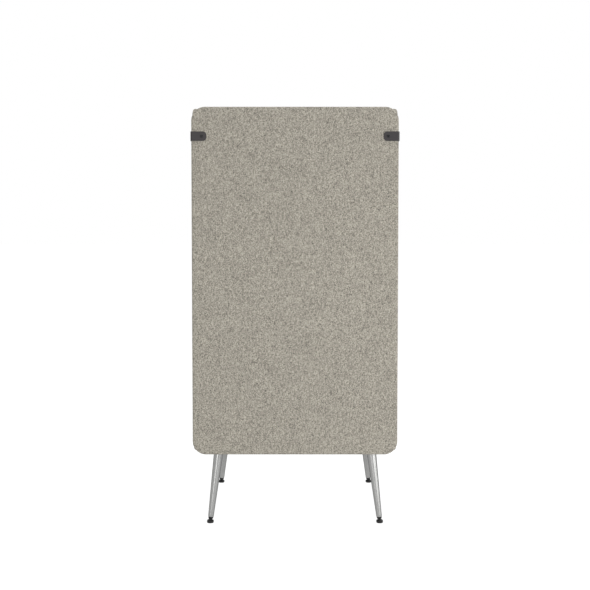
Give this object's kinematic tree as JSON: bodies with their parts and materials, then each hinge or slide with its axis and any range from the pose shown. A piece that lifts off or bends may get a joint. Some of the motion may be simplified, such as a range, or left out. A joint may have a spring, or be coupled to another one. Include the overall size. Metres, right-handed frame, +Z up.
{
  "type": "privacy booth screen",
  "caption": "Single-seat privacy booth: tall upholstered back and side screens round a low cushioned seat on splayed tapered metal legs.",
  "frame": {"origin": "on the floor, under the centre of the booth's overall box", "axes": "+Z up; the closed back that the picture shows faces -Y, the open front faces +Y; +X is to the right in the picture"},
  "size_m": [0.8046, 0.7624, 1.62],
  "materials": {
    "screen_fabric": "heathered woven wool blend, warm grey",
    "cushion_fabric": "the same heathered weave over soft foam",
    "foam": "cut polyurethane foam",
    "board": "birch plywood, unfinished",
    "dust_cloth": "black spunbonded cloth",
    "bracket_steel": "charcoal powder coat, fine texture",
    "black_screws": "black oxide",
    "zinc_screws": "bright zinc",
    "plate_steel": "plain satin steel",
    "leg_aluminium": "satin, brushed along the leg",
    "glide_steel": "black zinc",
    "glide_plastic": "moulded nylon, matt black",
    "glide_rubber": "matt black"
  },
  "bodies": {
    "root": {"back_cushion": "cushion_fabric", "back_screen_core": "board", "back_screen_cover_inner": "screen_fabric", "back_screen_cover_outer": "screen_fabric", "back_screen_foam_inner": "foam", "back_screen_foam_outer": "foam", "bracket_inserts": "zinc_screws", "bracket_screws": "black_screws", "corner_blocks": "board", "corner_bracket_left": "bracket_steel", "corner_bracket_right": "bracket_steel", "deck_screws": "zinc_screws", "dust_cover": "dust_cloth", "glide_bushes": "glide_steel", "left_screen_core": "board", "left_screen_cover_inner": "screen_fabric", "left_screen_cover_outer": "screen_fabric", "left_screen_foam_inner": "foam", "left_screen_foam_outer": "foam", "leg_back_left": "leg_aluminium", "leg_back_right": "leg_aluminium", "leg_front_left": "leg_aluminium", "leg_front_right": "leg_aluminium", "leg_plate_back_left": "plate_steel", "leg_plate_back_right": "plate_steel", "leg_plate_front_left": "plate_steel", "leg_plate_front_right": "plate_steel", "leg_screws": "zinc_screws", "right_screen_core": "board", "right_screen_cover_inner": "screen_fabric", "right_screen_cover_outer": "screen_fabric", "right_screen_foam_inner": "foam", "right_screen_foam_outer": "foam", "screen_bolts": "zinc_screws", "screen_inserts": "zinc_screws", "seat_apron_cover": "screen_fabric", "seat_apron_foam": "foam", "seat_cushion": "cushion_fabric", "seat_deck": "board", "seat_rail_back": "board", "seat_rail_front": "board", "seat_rail_left": "board", "seat_rail_right": "board"},
    "glide_foot_back_left": {"glide_pad_back_left": "glide_plastic", "glide_sole_back_left": "glide_rubber"},
    "glide_stem_back_left": {"glide_stem_back_left": "glide_steel"},
    "glide_foot_back_right": {"glide_pad_back_right": "glide_plastic", "glide_sole_back_right": "glide_rubber"},
    "glide_stem_back_right": {"glide_stem_back_right": "glide_steel"},
    "glide_foot_front_left": {"glide_pad_front_left": "glide_plastic", "glide_sole_front_left": "glide_rubber"},
    "glide_stem_front_left": {"glide_stem_front_left": "glide_steel"},
    "glide_foot_front_right": {"glide_pad_front_right": "glide_plastic", "glide_sole_front_right": "glide_rubber"},
    "glide_stem_front_right": {"glide_stem_front_right": "glide_steel"}
  },
  "joints": [
    {"name": "glide_height_back_left", "type": "slide", "parent": "root", "child": "glide_foot_back_left", "axis": [-0.115, -0.115, -0.9867], "range_m": [0, 0.012]},
    {"name": "glide_turn_back_left", "type": "hinge", "parent": "glide_foot_back_left", "child": "glide_stem_back_left", "pos_m": [-0.33274, -0.31349, 0.0074], "axis": [-0.115, -0.115, -0.9867], "range_deg": [0, 3456]},
    {"name": "glide_height_back_right", "type": "slide", "parent": "root", "child": "glide_foot_back_right", "axis": [0.115, -0.115, -0.9867], "range_m": [0, 0.012]},
    {"name": "glide_turn_back_right", "type": "hinge", "parent": "glide_foot_back_right", "child": "glide_stem_back_right", "pos_m": [0.33274, -0.31349, 0.0074], "axis": [0.115, -0.115, -0.9867], "range_deg": [0, 3456]},
    {"name": "glide_height_front_left", "type": "slide", "parent": "root", "child": "glide_foot_front_left", "axis": [-0.115, 0.115, -0.9867], "range_m": [0, 0.012]},
    {"name": "glide_turn_front_left", "type": "hinge", "parent": "glide_foot_front_left", "child": "glide_stem_front_left", "pos_m": [-0.33274, 0.31979, 0.0074], "axis": [-0.115, 0.115, -0.9867], "range_deg": [0, 3456]},
    {"name": "glide_height_front_right", "type": "slide", "parent": "root", "child": "glide_foot_front_right", "axis": [0.115, 0.115, -0.9867], "range_m": [0, 0.012]},
    {"name": "glide_turn_front_right", "type": "hinge", "parent": "glide_foot_front_right", "child": "glide_stem_front_right", "pos_m": [0.33274, 0.31979, 0.0074], "axis": [0.115, 0.115, -0.9867], "range_deg": [0, 3456]}
  ],
  "couplings": [
    {"joint": "glide_turn_back_left", "follows": "glide_height_back_left", "rad_per_m": 5026.5},
    {"joint": "glide_turn_back_right", "follows": "glide_height_back_right", "rad_per_m": 5026.5},
    {"joint": "glide_turn_front_left", "follows": "glide_height_front_left", "rad_per_m": 5026.5},
    {"joint": "glide_turn_front_right", "follows": "glide_height_front_right", "rad_per_m": 5026.5}
  ]
}
